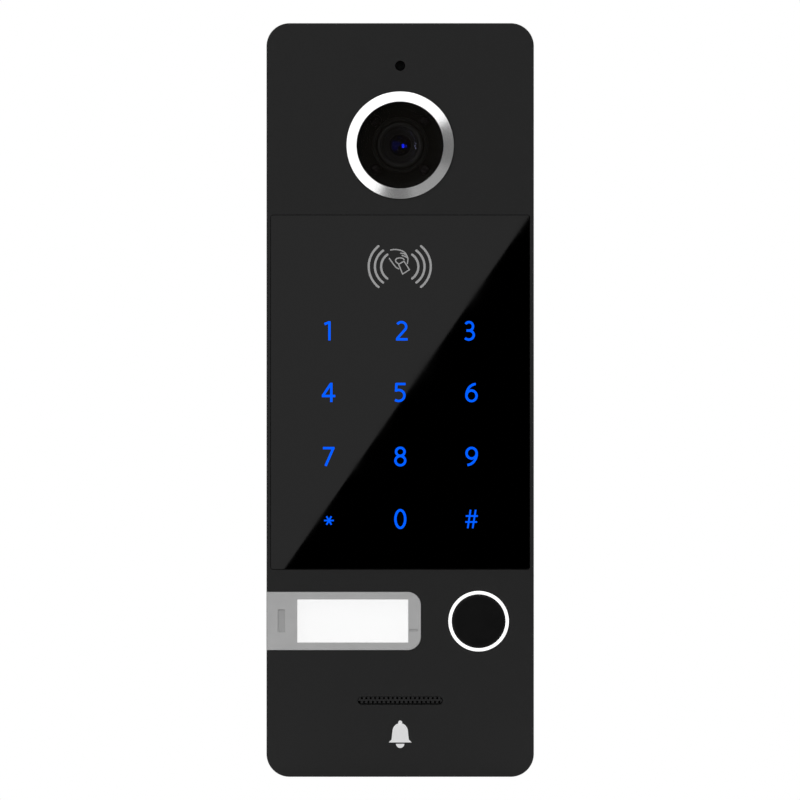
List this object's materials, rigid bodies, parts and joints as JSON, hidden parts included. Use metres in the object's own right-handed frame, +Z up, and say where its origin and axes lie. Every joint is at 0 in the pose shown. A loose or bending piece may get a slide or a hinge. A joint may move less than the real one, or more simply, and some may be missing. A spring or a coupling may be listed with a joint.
{
  "type": "door intercom panel",
  "caption": "Slim wall-mounted door station with a camera, card reader, touch keypad, slide-out nameplate, push call button and loudspeaker.",
  "frame": {"origin": "on the wall, at the middle of the wall bracket's back face", "axes": "+X to the right when facing the panel, +Y into the wall, so the front face looks along -Y, +Z up"},
  "size_m": [0.0604, 0.0273, 0.17],
  "materials": {
    "black_coat": "fine matt powder coat, very dark grey",
    "keypad_glass": "polished black glass with blue lit digits behind it",
    "white_plastic": "moulded, diffusing white",
    "circuit_board": "green solder resist",
    "black_plastic": "fine moulded texture",
    "copper_winding": "enamelled copper wire",
    "polished_ring": "turned and finely brushed, bevelled",
    "zinc_steel": "zinc plated",
    "camera_window": "clear polished window, smoke tinted",
    "black_rubber": "matt rubber",
    "led_lens": "dark clear epoxy",
    "lens_black": "anodised black",
    "lens_glass": "coated glass with a blue and violet sheen",
    "chip_resin": "moulded epoxy",
    "flex_film": "amber film",
    "wire_sleeve": "flexible sleeve",
    "grille_plastic": "perforated, matt",
    "black_foam": "closed-cell foam",
    "speaker_film": "thin film",
    "nameplate_grey": "satin moulded light grey",
    "clear_plastic": "clear polished plastic",
    "label_paper": "plain white paper, lit from behind",
    "button_black": "satin black, finely textured",
    "lit_ring": "white light pipe, lit",
    "silicone": "soft silicone",
    "housing_plastic": "fine moulded texture",
    "bracket_steel": "zinc plated sheet"
  },
  "bodies": {
    "panel": {"front_panel": "black_coat", "touch_glass": "keypad_glass", "keypad_light_frame": "white_plastic", "keypad_board": "circuit_board", "keypad_header": "black_plastic", "rfid_coil": "copper_winding", "camera_bezel": "polished_ring", "bezel_nut": "zinc_steel", "camera_window": "camera_window", "light_shield": "black_rubber", "ir_led_board": "circuit_board", "ir_led_1": "led_lens", "ir_led_2": "led_lens", "ir_led_3": "led_lens", "ir_led_4": "led_lens", "lens_barrel": "lens_black", "lens_glass": "lens_glass", "lens_holder": "black_plastic", "camera_board": "circuit_board", "image_sensor": "chip_resin", "camera_screw_1": "zinc_steel", "camera_screw_2": "zinc_steel", "camera_ribbon": "flex_film", "microphone_boot": "black_rubber", "microphone_capsule": "zinc_steel", "microphone_lead": "wire_sleeve", "speaker_grille": "grille_plastic", "speaker_gasket": "black_foam", "speaker_basket": "zinc_steel", "speaker_cone": "speaker_film", "speaker_magnet": "zinc_steel", "speaker_lead": "wire_sleeve", "nameplate_diffuser": "white_plastic", "nameplate_light_board": "circuit_board", "call_button_ring": "lit_ring", "call_button_seal": "silicone", "call_switch_body": "black_plastic", "main_board": "circuit_board", "processor_chip": "chip_resin", "lock_relay": "black_plastic", "cable_header": "white_plastic", "board_screw_1": "zinc_steel", "board_screw_2": "zinc_steel", "rear_housing": "housing_plastic", "housing_gasket": "silicone", "housing_screw_1": "zinc_steel", "housing_screw_2": "zinc_steel", "housing_screw_3": "zinc_steel", "housing_screw_4": "zinc_steel", "housing_screw_5": "zinc_steel", "housing_screw_6": "zinc_steel", "cable_grommet": "black_rubber", "wall_bracket": "bracket_steel", "wall_gasket": "black_foam", "lock_screw": "zinc_steel"},
    "call_button": {"call_button_cap": "button_black"},
    "switch_plunger": {"call_switch_plunger": "nameplate_grey"},
    "nameplate": {"nameplate_cover": "nameplate_grey", "nameplate_window": "clear_plastic", "name_label": "label_paper"}
  },
  "joints": [
    {"name": "call_button_press", "type": "slide", "parent": "panel", "child": "call_button", "axis": [0, 1, 0], "range_m": [0, 0.0006], "stiffness_N_per_m": 400, "springref_m": -0.002, "deforming": ["call_button_seal"]},
    {"name": "switch_plunger_press", "type": "slide", "parent": "panel", "child": "switch_plunger", "axis": [0, 1, 0], "range_m": [0, 0.0006]},
    {"name": "nameplate_slide", "type": "slide", "parent": "panel", "child": "nameplate", "axis": [-1, 0, 0], "range_m": [0, 0.03]}
  ],
  "couplings": [
    {"joint": "switch_plunger_press", "follows": "call_button_press", "ratio": 1}
  ]
}
